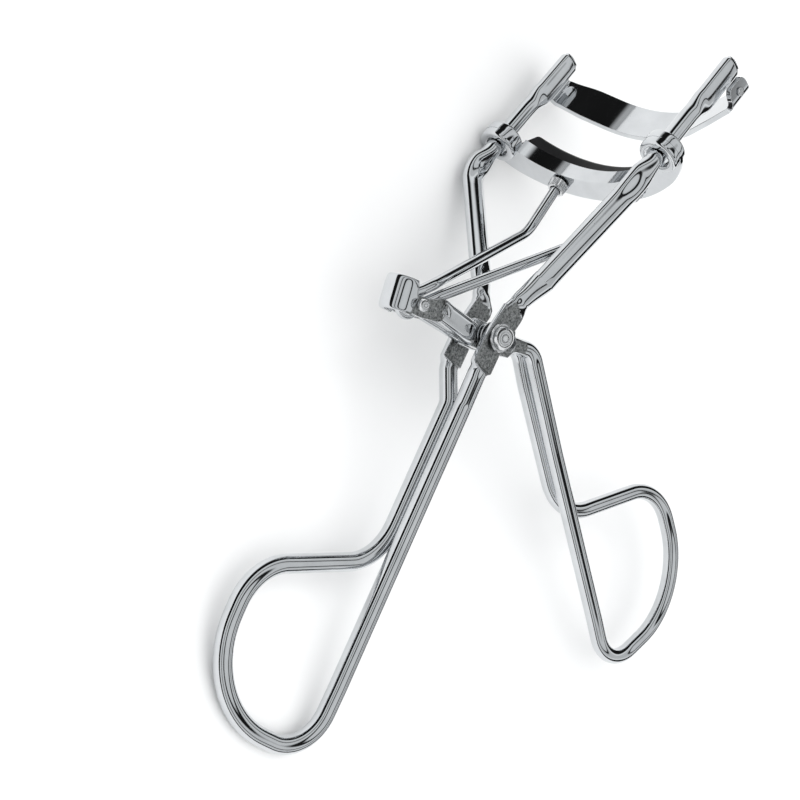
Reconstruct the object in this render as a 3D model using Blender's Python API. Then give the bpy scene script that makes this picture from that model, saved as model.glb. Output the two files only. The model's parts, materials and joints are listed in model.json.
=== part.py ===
"""Eyelash curler, a mechanism of bent and flattened wire, lying on its side.

The curler is designed upright and laid down at the end. A design point is written
(across, forward, up) in millimetres:
  across   along the pivot rivet, 0 in the plane of symmetry, + to the right
  forward  the way the two jaws bulge, away from the face
  up       along the guide rails, towards the jaws
The pivot rivet's axis is at forward 0, up 0. The finished curler rests on the left ring of
its lower jaw and on the frame's finger loop, as it does when it is put on a table.
"""
import math

import bmesh
import bpy
from mathutils import Matrix, Vector

MM = 0.001

# Wires
FRAME_WIRE_R = 1.25
LEVER_WIRE_R = 1.17
ROD_R = 0.75
WIRE_SIDES = 12
BEND_STEP_DEG = 15.0

# Guide rails and arms of the frame
RAIL_ACROSS = 14.4
RAIL_FORWARD = -7.5
RAIL_TOP = 48.0
RAIL_FOOT = 22.4
PADDLE_START = 36.8
PADDLE_FULL = 40.8
PADDLE_END = 47.3
PADDLE_HALF = 0.95
PADDLE_HALF_DEPTH = 1.65
PADDLE_FORWARD = -7.1

# Pivot stack, measured across from the plane of symmetry
LEVER_EAR_ACROSS = 0.95
LEVER_EAR_HALF = 0.62
LEVER_EAR_HALF_WIDTH = 1.9
SHIM_INNER = 1.75
SHIM_OUTER = 1.95
FRAME_EAR_ACROSS = 2.8
FRAME_EAR_HALF = 0.55
FRAME_EAR_HALF_WIDTH = 1.95
WASHER_INNER = 3.65
WASHER_OUTER = 4.0
RIVET_R = 1.1
RIVET_HOLE_R = 1.35
RIVET_HEAD_R = 1.62
RIVET_HEAD_INNER = 4.05
RIVET_HEAD_HEIGHT = 1.4
WASHER_R = 1.95

# Handles: a point on each handle's axis and its direction, as (forward, up)
FRAME_HANDLE_FROM = Vector((1.25, 0.0))
FRAME_HANDLE_DEG = -71.4
LEVER_HANDLE_FROM = Vector((0.0, 7.37))
LEVER_HANDLE_DEG = -17.9
FRAME_STEM_ACROSS = 1.3
LEVER_STEM_ACROSS = 1.21

# Finger loops: where the neck, shoulder and end are along the handle, and the loop's width
FRAME_LOOP = (32.3, 40.8, 59.0, 19.4)
LEVER_LOOP = (35.2, 41.2, 61.0, 21.2)

# Link pin, in the end of the lever, that drives the push rod
LINK_FORWARD = -12.5
LINK_UP = -7.15
LINK_PIN_R = 0.5
LINK_HOLE_R = 0.72
CHEEK_ACROSS = 1.75
CHEEK_HALF = 0.45
CHEEK_HALF_WIDTH = 1.3
CHEEK_OFFSET = -0.15
CHEEK_OVERHANG = 1.9
STRAP_HALF_WIDTH = 2.25
STRAP_OFFSET = 0.6
ARM_HALF = 0.92
ARM_HALF_HEIGHT = 1.5

# Push rod: two legs from an eye on the link pin up to the lower jaw
EYE_R = 1.4
LEG_OFFSET = 0.84
ROD_BEND = (5.6, -0.16, 19.25)
ROD_TOP = (6.9, -0.3, 30.1)
COLLAR_R = 1.45
COLLAR_BORE_R = 0.95
COLLAR_LOW = 27.9
COLLAR_HIGH = 29.3

# Lower jaw: a floor with an inner wall, and a ring round each rail
JAW_FLOOR = 29.5
JAW_THICKNESS = 0.6
JAW_INNER_CROWN = -0.8
JAW_INNER_R = 17.5
JAW_OUTER_CROWN = 2.5
JAW_OUTER_R = 24.0
JAW_WALL_TOP = 32.0
JAW_WALL_THICKNESS = 0.7
JAW_WALL_END = 12.4
RING_BORE_R = 1.68
RING_R = 2.85
RING_LOW = 28.3
RING_HIGH = 30.25
RING_OFFSET = 0.26
RING_LIP_HIGH = 31.1
RING_LIP_FROM_DEG = -218.0
RING_LIP_TO_DEG = 40.0

# The lever closes by this much, until the pad is just under the upper plate
CLOSING_DEG = 31.5
CLOSING_STEPS = 8

# Rubber pad in the lower jaw
PAD_INNER_CROWN = 0.2
PAD_OUTER_CROWN = 2.75
PAD_LOW = 30.55
PAD_HIGH = 34.6
PAD_END = 13.2
PAD_TOP_END = 11.9

# Upper plate: a curved band whose ends turn back beside the rails
PLATE_LOW = 42.2
PLATE_HIGH = 47.8
PLATE_CROWN = 2.1
PLATE_R = 17.9
PLATE_THICKNESS = 0.8
PLATE_ARC_END = 8.0
CURL_ACROSS = 14.75
CURL_FORWARD = -4.75
CURL_R = 1.45
CURL_FROM_DEG = 64.0
CURL_BACK = -6.4
CURL_LOW = 42.9
CURL_HIGH = 47.0
CURL_END_CUT = 1.0

# Stake through each curl
STAKE_R = 0.45
STAKE_HOLE_R = 0.7
STAKE_HEAD_R = 0.62
STAKE_UP = 45.0
STAKE_FORWARD = -4.95

CHROME = (0.80, 0.81, 0.82, 1.0)

RUBBER = (0.02, 0.02, 0.022, 1.0)

ACROSS_AXIS = Vector((0.0, 0.0, 1.0))


def at(across, forward, up):
    """A design point as a Blender vector in metres, before the curler is laid down."""
    return Vector((forward, up, across)) * MM


def smooth_step(low, high, value):
    """0 below low, 1 above high, and a smooth ramp between."""
    ratio = min(max((value - low) / (high - low), 0.0), 1.0)
    return ratio * ratio * (3.0 - 2.0 * ratio)


def mix(first, second, ratio):
    return first + (second - first) * ratio


def material(name, color, metallic, roughness):
    found = bpy.data.materials.get(name)
    if found:
        return found
    made = bpy.data.materials.new(name)
    made.use_nodes = True
    shader = made.node_tree.nodes["Principled BSDF"]
    shader.inputs["Base Color"].default_value = color
    shader.inputs["Metallic"].default_value = metallic
    shader.inputs["Roughness"].default_value = roughness
    return made


def chrome():
    return material("bright_chrome", CHROME, 1.0, 0.08)


def make_object(name, mesh_builder, surface, smooth_angle_deg=35.0):
    """Turn a bmesh into a named object with one material."""
    mesh = bpy.data.meshes.new(name)
    bmesh.ops.recalc_face_normals(mesh_builder, faces=mesh_builder.faces)
    mesh_builder.to_mesh(mesh)
    mesh_builder.free()
    mesh.shade_smooth()
    mesh.set_sharp_from_angle(angle=math.radians(smooth_angle_deg))
    mesh.materials.append(surface)
    made = bpy.data.objects.new(name, mesh)
    bpy.context.collection.objects.link(made)
    return made


def make_cutter(name, mesh_builder):
    cutter = make_object(name, mesh_builder, chrome())
    cutter.hide_render = True
    cutter.display_type = "WIRE"
    return cutter


def add_boolean(target, tool, operation):
    modifier = target.modifiers.new(f"{operation.lower()}_{tool.name}", "BOOLEAN")
    modifier.operation = operation
    modifier.object = tool
    modifier.solver = "EXACT"


# --- Paths -------------------------------------------------------------------------


def filleted(knots, step_deg=BEND_STEP_DEG):
    """Stations along straight runs between knots, each corner rounded to its own radius.

    A knot is (point, corner radius, section), and a station is (point, section).
    """
    stations = [(knots[0][0].copy(), knots[0][2])]
    for (before, _, _), (corner, radius, section), (after, _, _) in zip(knots, knots[1:], knots[2:]):
        arriving = (before - corner).normalized()
        leaving = (after - corner).normalized()
        angle = arriving.angle(leaving)
        turn = math.pi - angle
        if radius <= 0.0 or turn < 0.01:
            stations.append((corner.copy(), section))
            continue
        reach = radius / math.tan(angle / 2.0)
        reach = min(reach, 0.64 * (before - corner).length, 0.64 * (after - corner).length)
        actual = reach * math.tan(angle / 2.0)
        bisector = (arriving + leaving).normalized()
        centre = corner + bisector * (actual / math.sin(angle / 2.0))
        start = corner + arriving * reach - centre
        end = corner + leaving * reach - centre
        steps = max(2, math.ceil(math.degrees(turn) / step_deg))
        for index in range(steps + 1):
            ratio = index / steps
            swing = (math.sin((1.0 - ratio) * turn) * start + math.sin(ratio * turn) * end) / math.sin(turn)
            stations.append((centre + swing, section))
    stations.append((knots[-1][0].copy(), knots[-1][2]))
    return stations


def refined(stations, longest, longest_change):
    """Split long runs, and more finely where the section changes, with a smooth change."""
    result = [stations[0]]
    for (first, old), (second, new) in zip(stations, stations[1:]):
        limit = longest if old == new else longest_change
        pieces = max(1, math.ceil((second - first).length / (limit * MM) - 1e-6))
        for index in range(1, pieces + 1):
            ratio = index / pieces
            eased = smooth_step(0.0, 1.0, ratio)
            section = tuple(mix(low, high, eased) for low, high in zip(old, new))
            result.append((first.lerp(second, ratio), section))
    return result


def round_section(radius):
    """Half sizes across and square to that, in mm, and how square the section is."""
    return (radius, radius, 0.0)


def mirrored(knots):
    """The same knots on the other side of the plane of symmetry."""
    return [(Vector((point.x, point.y, -point.z)), radius, section) for point, radius, section in knots]


def handle_frame(start, angle_deg, outward_sign):
    """A function placing (along, outward, across) millimetres in a handle's plane."""
    angle = math.radians(angle_deg)
    direction = Vector((math.cos(angle), math.sin(angle)))
    outward = Vector((-direction.y, direction.x)) * outward_sign

    def place(along, out, across):
        flat = start + direction * along + outward * out
        return at(across, flat.x, flat.y)

    return place


def loop_knots(place, stem_across, loop, foot_along, wire_r):
    """The finger loop, from the left wire's neck round to the right wire's foot."""
    neck, shoulder, end, width = loop
    left = -stem_across
    corners = [
        (place(foot_along, 0.0, left), 0.0),
        (place(neck, 0.0, left), 8.0 * MM),
        (place(shoulder, width, left * 0.8), 8.0 * MM),
        (place(end, width, left * 0.3), 12.0 * MM),
        (place(end, 0.0, stem_across * 0.8), 6.8 * MM),
        (place(end - 9.5, 0.0, stem_across), 0.0),
        (place(foot_along, 0.0, stem_across), 0.0),
    ]
    return [(point, radius, round_section(wire_r)) for point, radius in corners]


# --- Swept wires -------------------------------------------------------------------


def wire_frames(stations, tall_hint):
    """Section axes along a wire: one as near as possible to the pivot axis, one square to it.

    Where the wire is flattened, its broad way keeps to the hint, however the wire swerves.
    """
    frames = []
    for index, (point, section) in enumerate(stations):
        ahead = stations[min(index + 1, len(stations) - 1)][0]
        behind = stations[max(index - 1, 0)][0]
        tangent = (ahead - behind).normalized()
        side = ACROSS_AXIS - tangent * ACROSS_AXIS.dot(tangent)
        if tall_hint is not None and section[2] > 0.6:
            tall = tall_hint.copy()
            side = tall.cross(tangent).normalized()
        elif side.length > 0.6 or tall_hint is None:
            side.normalize()
            tall = tangent.cross(side)
        else:
            tall = (tall_hint - tangent * tall_hint.dot(tangent)).normalized()
            side = tall.cross(tangent)
        if frames and side.dot(frames[-1][1]) + tall.dot(frames[-1][2]) < 0.0:
            side, tall = -side, -tall
        frames.append((point, side, tall))
    return frames


def sweep(stations, sides=WIRE_SIDES, tall_hint=None, endless=False):
    """A tube through stations, each a point and its section.

    An endless wire has its first point again as its last one, and no ends.
    """
    builder = bmesh.new()
    rings = []
    frames = wire_frames(stations, tall_hint)
    for (point, side, tall), (_, section) in zip(frames, stations):
        half_side, half_tall, squareness = section
        power = mix(1.0, 0.42, squareness)
        ring = []
        for index in range(sides):
            angle = math.tau * (index + 0.5) / sides
            cosine, sine = math.cos(angle), math.sin(angle)
            along_side = math.copysign(abs(cosine) ** power, cosine) * half_side * MM
            along_tall = math.copysign(abs(sine) ** power, sine) * half_tall * MM
            ring.append(builder.verts.new(point + side * along_side + tall * along_tall))
        rings.append(ring)
    if endless:
        # The section comes round half a turn on, so the last ring is the first one, shifted.
        for vertex in rings.pop():
            builder.verts.remove(vertex)
        rings.append(rings[0][sides // 2:] + rings[0][:sides // 2])
    for ring, following in zip(rings, rings[1:]):
        for index in range(sides):
            after = (index + 1) % sides
            builder.faces.new((ring[index], ring[after], following[after], following[index]))
    if not endless:
        builder.faces.new(reversed(rings[0]))
        builder.faces.new(rings[-1])
    return builder


def cylinder_across(radius, start, end, forward, up, sides=24):
    """A cylinder along the pivot axis, from start to end across."""
    return lathe_across([(start, radius), (end, radius)], forward, up, sides)


def lathe_across(profile, forward, up, sides=24):
    """Turn (across, radius) steps about the pivot axis direction through (forward, up)."""
    builder = bmesh.new()
    rings = []
    for across, radius in profile:
        ring = []
        for index in range(sides):
            angle = math.tau * index / sides
            spot = at(across, forward + radius * math.cos(angle), up + radius * math.sin(angle))
            ring.append(builder.verts.new(spot))
        rings.append(ring)
    for ring, following in zip(rings, rings[1:]):
        for index in range(sides):
            after = (index + 1) % sides
            builder.faces.new((ring[index], ring[after], following[after], following[index]))
    builder.faces.new(reversed(rings[0]))
    builder.faces.new(rings[-1])
    return builder


def ring_across(inner, outer, start, end, sides=24):
    """A flat washer on the pivot axis."""
    builder = bmesh.new()
    loops = []
    for across, radius in ((start, inner), (start, outer), (end, outer), (end, inner)):
        loop = []
        for index in range(sides):
            angle = math.tau * index / sides
            loop.append(builder.verts.new(at(across, radius * math.cos(angle), radius * math.sin(angle))))
        loops.append(loop)
    for loop, following in zip(loops, loops[1:] + loops[:1]):
        for index in range(sides):
            after = (index + 1) % sides
            builder.faces.new((loop[index], loop[after], following[after], following[index]))
    return builder


def dome(radius, start, height, direction, steps=5):
    """(across, radius) steps of a rivet head that stands on start and points in direction."""
    steps_out = []
    for index in range(steps + 1):
        angle = math.radians(84.0) * index / steps
        steps_out.append((start + direction * height * math.sin(angle), radius * math.cos(angle)))
    return steps_out


# --- Frame -------------------------------------------------------------------------


def build_frame_wire():
    place = handle_frame(FRAME_HANDLE_FROM, FRAME_HANDLE_DEG, -1.0)
    wire = round_section(FRAME_WIRE_R)
    tip = (0.8, 1.35, 0.2)
    arm = (1.05, 1.9, 0.15)
    paddle = (PADDLE_HALF, PADDLE_HALF_DEPTH, 0.35)
    ear = (FRAME_EAR_HALF, FRAME_EAR_HALF_WIDTH, 0.8)
    right_half = [
        (at(RAIL_ACROSS, PADDLE_FORWARD, RAIL_TOP), 0.0, tip),
        (at(RAIL_ACROSS, PADDLE_FORWARD, PADDLE_END), 0.0, paddle),
        (at(RAIL_ACROSS, PADDLE_FORWARD, PADDLE_FULL), 12.0 * MM, paddle),
        (at(RAIL_ACROSS, RAIL_FORWARD, PADDLE_START), 12.0 * MM, wire),
        (at(RAIL_ACROSS, RAIL_FORWARD, RAIL_FOOT + 5.0), 0.0, wire),
        (at(RAIL_ACROSS, RAIL_FORWARD, RAIL_FOOT), 5.0 * MM, arm),
        (at(5.9, -2.0, 9.3), 0.0, arm),
        (at(3.6, -1.1, 5.9), 2.0 * MM, (0.9, 1.5, 0.2)),
        (at(FRAME_EAR_ACROSS, -0.3, 4.3), 0.0, ear),
        (at(FRAME_EAR_ACROSS, 0.2, -1.0), 6.0 * MM, ear),
        (at(FRAME_EAR_ACROSS, 1.25, -4.3), 0.0, ear),
        (at(FRAME_EAR_ACROSS - 0.2, 1.55, -5.3), 2.0 * MM, wire),
        (place(9.4, 0.0, FRAME_STEM_ACROSS), 3.0 * MM, wire),
    ]
    loop = loop_knots(place, FRAME_STEM_ACROSS, FRAME_LOOP, 12.0, FRAME_WIRE_R)
    knots = right_half + list(reversed(loop)) + list(reversed(mirrored(right_half)))
    stations = refined(filleted(knots), 12.0, 0.4)
    wire = make_object("frame_wire", sweep(stations), chrome())
    hole = cylinder_across(RIVET_HOLE_R, -6.0, 6.0, 0.0, 0.0)
    add_boolean(wire, make_cutter("cut_frame_pivot", hole), "DIFFERENCE")
    return wire


# --- Lever -------------------------------------------------------------------------


def arm_frame():
    """A function placing (along, offset, across) on the arm, from the link pin to the pivot."""
    link = Vector((LINK_FORWARD, LINK_UP))
    along = -link.normalized()
    offset = Vector((-along.y, along.x))

    def place(distance, aside, across):
        flat = link + along * distance + offset * aside
        return at(across, flat.x, flat.y)

    return place, offset


def build_lever_wire():
    place = handle_frame(LEVER_HANDLE_FROM, LEVER_HANDLE_DEG, 1.0)
    on_arm, offset = arm_frame()
    pivot = math.hypot(LINK_FORWARD, LINK_UP)
    wire = round_section(LEVER_WIRE_R)
    ear = (LEVER_EAR_HALF, LEVER_EAR_HALF_WIDTH, 0.8)
    arm = (ARM_HALF, ARM_HALF_HEIGHT, 0.35)
    strap = (CHEEK_HALF, STRAP_HALF_WIDTH, 0.75)
    right_half = [
        (on_arm(-1.1, STRAP_OFFSET, CHEEK_ACROSS), 0.0, strap),
        (on_arm(-0.6, CHEEK_OFFSET, CHEEK_ACROSS), 0.0, (CHEEK_HALF, CHEEK_HALF_WIDTH, 0.7)),
        (on_arm(1.3, CHEEK_OFFSET, CHEEK_ACROSS), 0.0, (CHEEK_HALF, CHEEK_HALF_WIDTH, 0.7)),
        (on_arm(4.1, 0.45, CHEEK_ACROSS), 0.0, (CHEEK_HALF, 1.5, 0.7)),
        (on_arm(4.4, 0.5, CHEEK_ACROSS), 0.0, arm),
        (on_arm(pivot - 3.1, -0.4, 1.05), 0.0, arm),
        (on_arm(pivot - 2.7, -0.3, LEVER_EAR_ACROSS), 0.0, ear),
        (on_arm(pivot, -0.3, LEVER_EAR_ACROSS), 0.0, ear),
        (on_arm(pivot + 5.0, 0.2, LEVER_EAR_ACROSS), 0.0, ear),
        (on_arm(pivot + 5.5, 0.25, LEVER_STEM_ACROSS), 0.0, wire),
        (on_arm(pivot + 9.5, 0.5, LEVER_STEM_ACROSS), 3.2 * MM, wire),
    ]
    u_bend = []
    for index in range(11):
        angle = math.pi * index / 10
        distance = -CHEEK_OVERHANG - CHEEK_ACROSS * math.sin(angle)
        u_bend.append((on_arm(distance, STRAP_OFFSET, CHEEK_ACROSS * math.cos(angle)), 0.0, strap))
    loop = loop_knots(place, LEVER_STEM_ACROSS, LEVER_LOOP, 13.5, LEVER_WIRE_R)
    # The wire is one endless ring, which starts and ends in the middle of the right stem.
    foot = (place(24.0, 0.0, LEVER_STEM_ACROSS), 0.0, wire)
    knots = [foot] + list(reversed(right_half)) + u_bend + mirrored(right_half) + loop[:-1] + [foot]
    stations = refined(filleted(knots), 12.0, 0.5)
    tall = Vector((offset.x, offset.y, 0.0))
    lever = make_object("lever_wire", sweep(stations, tall_hint=tall, endless=True), chrome())
    hole = cylinder_across(RIVET_HOLE_R, -4.0, 4.0, 0.0, 0.0)
    add_boolean(lever, make_cutter("cut_lever_pivot", hole), "DIFFERENCE")
    link_hole = cylinder_across(LINK_HOLE_R, -4.0, 4.0, LINK_FORWARD, LINK_UP, 16)
    add_boolean(lever, make_cutter("cut_lever_link", link_hole), "DIFFERENCE")
    return lever


# --- Pivot and link hardware ---------------------------------------------------------


def build_pivot_rivet():
    left_head = dome(RIVET_HEAD_R, -RIVET_HEAD_INNER, RIVET_HEAD_HEIGHT, -1.0)
    right_head = dome(RIVET_HEAD_R, RIVET_HEAD_INNER, RIVET_HEAD_HEIGHT, 1.0)
    shaft = [(-RIVET_HEAD_INNER, RIVET_R), (RIVET_HEAD_INNER, RIVET_R)]
    profile = list(reversed(left_head)) + shaft + right_head
    return make_object("pivot_rivet", lathe_across(profile, 0.0, 0.0), chrome())


def build_pivot_washers():
    washers = []
    for side, sign in (("left", -1.0), ("right", 1.0)):
        washer = ring_across(RIVET_HOLE_R, WASHER_R, sign * WASHER_INNER, sign * WASHER_OUTER)
        shim = ring_across(RIVET_HOLE_R, WASHER_R - 0.1, sign * SHIM_INNER, sign * SHIM_OUTER)
        washers.append(make_object(f"pivot_washer_{side}", washer, chrome()))
        washers.append(make_object(f"pivot_shim_{side}", shim, chrome()))
    return washers


def build_link_pin():
    ball_r = 0.82
    ball_at = CHEEK_ACROSS + CHEEK_HALF + 0.65
    profile = [(-2.75, 0.3), (-2.65, 0.75), (-2.25, 0.8), (-2.25, LINK_PIN_R)]
    for index in range(7):
        angle = math.radians(mix(144.0, 12.0, index / 6.0))
        profile.append((ball_at + ball_r * math.cos(angle), ball_r * math.sin(angle)))
    return make_object("link_pin", lathe_across(profile, LINK_FORWARD, LINK_UP, 16), chrome())


# --- Push rod ------------------------------------------------------------------------


def rod_direction():
    """Direction of the legs where they leave the eye, and the offset square to it."""
    rise = Vector((ROD_BEND[1] - LINK_FORWARD, ROD_BEND[2] - LINK_UP)).normalized()
    return rise, Vector((rise.y, -rise.x))


def build_push_rod():
    link = Vector((LINK_FORWARD, LINK_UP))
    rise, offset = rod_direction()

    def near_link(distance, sideways, across):
        flat = link + rise * distance + offset * sideways
        return at(across, flat.x, flat.y)

    rod = round_section(ROD_R)

    def leg(sign):
        return [
            (at(sign * ROD_TOP[0], ROD_TOP[1], ROD_TOP[2]), 0.0, rod),
            (at(sign * ROD_BEND[0], ROD_BEND[1], ROD_BEND[2]), 7.0 * MM, rod),
            (near_link(4.9, sign * LEG_OFFSET, sign * 0.12), 4.0 * MM, rod),
            (near_link(2.7, sign * LEG_OFFSET, 0.0), 1.2 * MM, rod),
        ]

    eye = []
    for index in range(15):
        angle = math.radians(mix(-48.0, 228.0, index / 14.0))
        eye.append((near_link(-EYE_R * math.sin(angle), -EYE_R * math.cos(angle), 0.0), 0.0, rod))
    stations = filleted(leg(-1.0) + eye + list(reversed(leg(1.0))))
    return make_object("push_rod", sweep(stations, sides=10), chrome())


def build_rod_collars():
    collars = []
    top = Vector(ROD_TOP)
    bend = Vector(ROD_BEND)
    for side, sign in (("left", -1.0), ("right", 1.0)):
        axis = Vector((sign * (top.x - bend.x), top.y - bend.y, top.z - bend.z)).normalized()
        builder = bmesh.new()
        loops = []
        for up, radius in (
            (COLLAR_LOW, COLLAR_BORE_R), (COLLAR_LOW, COLLAR_R - 0.25), (COLLAR_LOW + 0.3, COLLAR_R),
            (COLLAR_HIGH, COLLAR_R), (COLLAR_HIGH, COLLAR_BORE_R),
        ):
            reach = (up - top.z) / axis.z
            loop = []
            for index in range(14):
                angle = math.tau * index / 14
                across = sign * top.x + axis.x * reach + radius * math.cos(angle)
                forward = top.y + axis.y * reach + radius * math.sin(angle)
                loop.append(builder.verts.new(at(across, forward, up)))
            loops.append(loop)
        for loop, following in zip(loops, loops[1:] + loops[:1]):
            for index in range(14):
                after = (index + 1) % 14
                builder.faces.new((loop[index], loop[after], following[after], following[index]))
        collars.append(make_object(f"rod_collar_{side}", builder, chrome()))
    return collars


# --- Lower jaw and pad -----------------------------------------------------------------


def arc_forward(crown, radius, across):
    """How far forward a jaw line of this crown and radius is at a distance across."""
    return crown - radius + math.sqrt(radius * radius - across * across)


def extruded(outline, low, high):
    """A prism over an outline of (across, forward) points, between two heights."""
    builder = bmesh.new()
    bottom = [builder.verts.new(at(across, forward, low)) for across, forward in outline]
    top = [builder.verts.new(at(across, forward, high)) for across, forward in outline]
    count = len(outline)
    for index in range(count):
        after = (index + 1) % count
        builder.faces.new((bottom[index], bottom[after], top[after], top[index]))
    builder.faces.new(list(reversed(bottom)))
    builder.faces.new(top)
    return builder


def strip_outline(inner, outer, ends, steps):
    """Outline between two curves given as functions of across."""
    outline = []
    for index in range(steps + 1):
        across = mix(-ends, ends, index / steps)
        outline.append((across, inner(across)))
    for index in range(steps + 1):
        across = mix(ends, -ends, index / steps)
        outline.append((across, outer(across)))
    return outline


def floor_outline():
    """The jaw's floor: crescent between the jaw lines, rounded off outside each rail."""
    rail_forward = RAIL_FORWARD + RING_OFFSET
    outline = []
    steps = 22
    for index in range(steps + 1):
        across = mix(-JAW_WALL_END, JAW_WALL_END, index / steps)
        outline.append((across, arc_forward(JAW_INNER_CROWN, JAW_INNER_R, across)))
    right_end = []
    for index in range(1, 10):
        angle = math.radians(mix(-135.0, 10.0, index / 9.0))
        right_end.append((RAIL_ACROSS + RING_R * math.cos(angle), rail_forward + RING_R * math.sin(angle)))
    for across, forward in ((17.0, -5.6), (16.3, -4.1), (15.3, -3.0)):
        right_end.append((across, forward))
    outline += right_end
    for index in range(steps + 1):
        across = mix(14.0, -14.0, index / steps)
        outline.append((across, arc_forward(JAW_OUTER_CROWN, JAW_OUTER_R, across)))
    outline += [(-across, forward) for across, forward in reversed(right_end)]
    return outline


def vertical_cylinder(radius, across, forward, low, high, sides=20):
    outline = []
    for index in range(sides):
        angle = math.tau * index / sides
        outline.append((across + radius * math.cos(angle), forward + radius * math.sin(angle)))
    return extruded(outline, low, high)


def ring_lip_outline(sign):
    """The ring stands taller all round, but for the quarter next to the pad."""
    rail_forward = RAIL_FORWARD + RING_OFFSET
    outline = []
    for radius, backwards in ((RING_R - 0.05, False), (RING_BORE_R - 0.2, True)):
        for index in range(17):
            ratio = 1.0 - index / 16 if backwards else index / 16
            angle = math.radians(mix(RING_LIP_FROM_DEG, RING_LIP_TO_DEG, ratio))
            across = RAIL_ACROSS + radius * math.cos(angle)
            outline.append((sign * across, rail_forward + radius * math.sin(angle)))
    return outline


def build_lower_jaw():
    rail_forward = RAIL_FORWARD + RING_OFFSET
    jaw = make_object("lower_jaw", extruded(floor_outline(), JAW_FLOOR, JAW_FLOOR + JAW_THICKNESS), chrome())
    wall = strip_outline(
        lambda across: arc_forward(JAW_INNER_CROWN, JAW_INNER_R, across) + 0.01,
        lambda across: arc_forward(JAW_INNER_CROWN + JAW_WALL_THICKNESS, JAW_INNER_R, across),
        JAW_WALL_END - 0.2, 20)
    add_boolean(jaw, make_cutter("add_jaw_wall", extruded(wall, JAW_FLOOR + 0.2, JAW_WALL_TOP)), "UNION")
    for side, sign in (("left", -1.0), ("right", 1.0)):
        ring = vertical_cylinder(RING_R - 0.04, sign * RAIL_ACROSS, rail_forward, RING_LOW, RING_HIGH)
        add_boolean(jaw, make_cutter(f"add_ring_{side}", ring), "UNION")
        lip = extruded(ring_lip_outline(sign), JAW_FLOOR + 0.2, RING_LIP_HIGH)
        add_boolean(jaw, make_cutter(f"add_lip_{side}", lip), "UNION")
    for side, sign in (("left", -1.0), ("right", 1.0)):
        bore = vertical_cylinder(RING_BORE_R, sign * RAIL_ACROSS, rail_forward, RING_LOW - 2.0,
                                 RING_HIGH + 2.0)
        add_boolean(jaw, make_cutter(f"cut_ring_{side}", bore), "DIFFERENCE")
        hole = vertical_cylinder(ROD_R + 0.3, sign * ROD_TOP[0], ROD_TOP[1], JAW_FLOOR - 1.0,
                                 JAW_FLOOR + 2.0, 12)
        add_boolean(jaw, make_cutter(f"cut_rod_{side}", hole), "DIFFERENCE")
    return jaw


def pad_profile():
    """Pad section as (share of the way from inner to outer face, height)."""
    crest = PAD_HIGH
    return [
        (0.0, PAD_LOW), (0.0, crest - 0.9), (0.12, crest - 0.3), (0.32, crest),
        (0.68, crest), (0.88, crest - 0.35), (1.0, crest - 1.0), (1.0, PAD_LOW + 0.3), (0.9, PAD_LOW),
    ]


def build_pad():
    """The rubber pad: one section along the jaw, with its ends cut back towards the top."""
    profile = pad_profile()
    builder = bmesh.new()
    stations = 24
    rings = []
    for index in range(stations + 1):
        share = mix(-1.0, 1.0, index / stations)
        ring = []
        for ratio, up in profile:
            height = (up - PAD_LOW) / (PAD_HIGH - PAD_LOW)
            across = share * mix(PAD_END, PAD_TOP_END, height)
            inner = arc_forward(PAD_INNER_CROWN, JAW_INNER_R, across)
            outer = arc_forward(PAD_OUTER_CROWN, JAW_INNER_R + 2.6, across)
            ring.append(builder.verts.new(at(across, mix(inner, outer, ratio), up)))
        rings.append(ring)
    count = len(profile)
    for ring, following in zip(rings, rings[1:]):
        for index in range(count):
            after = (index + 1) % count
            builder.faces.new((ring[index], ring[after], following[after], following[index]))
    builder.faces.new(reversed(rings[0]))
    builder.faces.new(rings[-1])
    return make_object("curling_pad", builder, material("pad_rubber", RUBBER, 0.0, 0.55))


# --- Upper plate -----------------------------------------------------------------------


def plate_line():
    """Middle line of the plate, right half, as (across, forward, lowest, highest)."""
    line = []
    steps = 9
    for index in range(steps + 1):
        across = PLATE_ARC_END * index / steps
        line.append((across, arc_forward(PLATE_CROWN, PLATE_R, across), PLATE_LOW, PLATE_HIGH))
    start = math.radians(CURL_FROM_DEG)
    turned = (CURL_ACROSS + CURL_R * math.cos(start), CURL_FORWARD + CURL_R * math.sin(start))
    before = line[-1]
    for index in range(1, 5):
        ratio = index / 4
        low = mix(PLATE_LOW, CURL_LOW - 0.4, smooth_step(0.4, 1.0, ratio))
        high = mix(PLATE_HIGH, CURL_HIGH + 0.3, smooth_step(0.4, 1.0, ratio))
        line.append((mix(before[0], turned[0], ratio), mix(before[1], turned[1], ratio), low, high))
    for index in range(1, 7):
        angle = start * (1.0 - index / 6)
        low = mix(CURL_LOW - 0.4, CURL_LOW, index / 6)
        high = mix(CURL_HIGH + 0.3, CURL_HIGH, index / 6)
        across = CURL_ACROSS + CURL_R * math.cos(angle)
        line.append((across, CURL_FORWARD + CURL_R * math.sin(angle), low, high))
    for index in range(1, 6):
        ratio = index / 5
        cut = CURL_END_CUT * (1.0 - math.sqrt(1.0 - 0.96 * ratio * ratio))
        forward = mix(CURL_FORWARD, CURL_BACK, ratio)
        line.append((CURL_ACROSS + CURL_R, forward, CURL_LOW + cut, CURL_HIGH - cut))
    return line


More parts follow.
